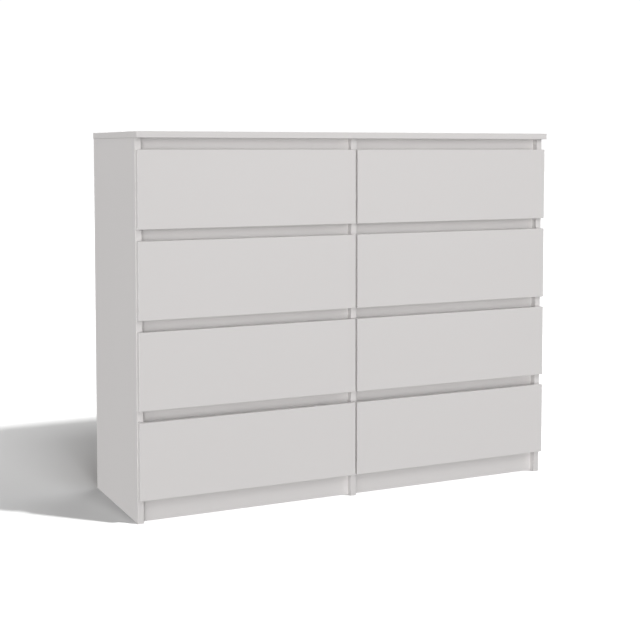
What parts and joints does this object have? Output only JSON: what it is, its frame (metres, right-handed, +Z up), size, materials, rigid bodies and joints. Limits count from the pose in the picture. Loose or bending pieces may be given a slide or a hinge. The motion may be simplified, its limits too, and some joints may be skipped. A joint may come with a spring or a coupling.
{
  "type": "chest of drawers",
  "caption": "Wide handle-less chest of drawers: side-by-side columns of flat fronts, recessed finger rails between them, a flat overhanging top and set-back plinths.",
  "frame": {"origin": "on the floor at the centre of the footprint (centre of the bounding box, at its base)", "axes": "+X to the viewer's right along the width, -Y out of the front, the way the drawers open, +Z up"},
  "size_m": [1.2, 0.392, 0.97],
  "materials": {
    "white_board": "matt warm-white melamine on chipboard",
    "box_board": "matt white melamine on thin chipboard",
    "thin_sheet": "white lacquered hard fibreboard",
    "runner_steel": "white powder-coated rolled steel",
    "cam_zinc": "zinc-plated die casting"
  },
  "bodies": {
    "carcass": {"top_panel": "white_board", "left_side_panel": "white_board", "right_side_panel": "white_board", "centre_divider": "white_board", "left_bottom_panel": "white_board", "right_bottom_panel": "white_board", "left_plinth": "white_board", "right_plinth": "white_board", "back_panel": "thin_sheet", "finger_rails": "white_board", "cabinet_runners": "runner_steel", "cam_fittings": "cam_zinc"},
    "drawer_left_1": {"drawer_left_1_front": "white_board", "drawer_left_1_left_side": "box_board", "drawer_left_1_right_side": "box_board", "drawer_left_1_back": "box_board", "drawer_left_1_bottom": "thin_sheet", "drawer_left_1_runners": "runner_steel"},
    "drawer_left_2": {"drawer_left_2_front": "white_board", "drawer_left_2_left_side": "box_board", "drawer_left_2_right_side": "box_board", "drawer_left_2_back": "box_board", "drawer_left_2_bottom": "thin_sheet", "drawer_left_2_runners": "runner_steel"},
    "drawer_left_3": {"drawer_left_3_front": "white_board", "drawer_left_3_left_side": "box_board", "drawer_left_3_right_side": "box_board", "drawer_left_3_back": "box_board", "drawer_left_3_bottom": "thin_sheet", "drawer_left_3_runners": "runner_steel"},
    "drawer_left_4": {"drawer_left_4_front": "white_board", "drawer_left_4_left_side": "box_board", "drawer_left_4_right_side": "box_board", "drawer_left_4_back": "box_board", "drawer_left_4_bottom": "thin_sheet", "drawer_left_4_runners": "runner_steel"},
    "drawer_right_1": {"drawer_right_1_front": "white_board", "drawer_right_1_left_side": "box_board", "drawer_right_1_right_side": "box_board", "drawer_right_1_back": "box_board", "drawer_right_1_bottom": "thin_sheet", "drawer_right_1_runners": "runner_steel"},
    "drawer_right_2": {"drawer_right_2_front": "white_board", "drawer_right_2_left_side": "box_board", "drawer_right_2_right_side": "box_board", "drawer_right_2_back": "box_board", "drawer_right_2_bottom": "thin_sheet", "drawer_right_2_runners": "runner_steel"},
    "drawer_right_3": {"drawer_right_3_front": "white_board", "drawer_right_3_left_side": "box_board", "drawer_right_3_right_side": "box_board", "drawer_right_3_back": "box_board", "drawer_right_3_bottom": "thin_sheet", "drawer_right_3_runners": "runner_steel"},
    "drawer_right_4": {"drawer_right_4_front": "white_board", "drawer_right_4_left_side": "box_board", "drawer_right_4_right_side": "box_board", "drawer_right_4_back": "box_board", "drawer_right_4_bottom": "thin_sheet", "drawer_right_4_runners": "runner_steel"}
  },
  "joints": [
    {"name": "drawer_left_1_slide", "type": "slide", "parent": "carcass", "child": "drawer_left_1", "axis": [0, -1, 0], "range_m": [0, 0.26]},
    {"name": "drawer_left_2_slide", "type": "slide", "parent": "carcass", "child": "drawer_left_2", "axis": [0, -1, 0], "range_m": [0, 0.26]},
    {"name": "drawer_left_3_slide", "type": "slide", "parent": "carcass", "child": "drawer_left_3", "axis": [0, -1, 0], "range_m": [0, 0.26]},
    {"name": "drawer_left_4_slide", "type": "slide", "parent": "carcass", "child": "drawer_left_4", "axis": [0, -1, 0], "range_m": [0, 0.26]},
    {"name": "drawer_right_1_slide", "type": "slide", "parent": "carcass", "child": "drawer_right_1", "axis": [0, -1, 0], "range_m": [0, 0.26]},
    {"name": "drawer_right_2_slide", "type": "slide", "parent": "carcass", "child": "drawer_right_2", "axis": [0, -1, 0], "range_m": [0, 0.26]},
    {"name": "drawer_right_3_slide", "type": "slide", "parent": "carcass", "child": "drawer_right_3", "axis": [0, -1, 0], "range_m": [0, 0.26]},
    {"name": "drawer_right_4_slide", "type": "slide", "parent": "carcass", "child": "drawer_right_4", "axis": [0, -1, 0], "range_m": [0, 0.26]}
  ]
}
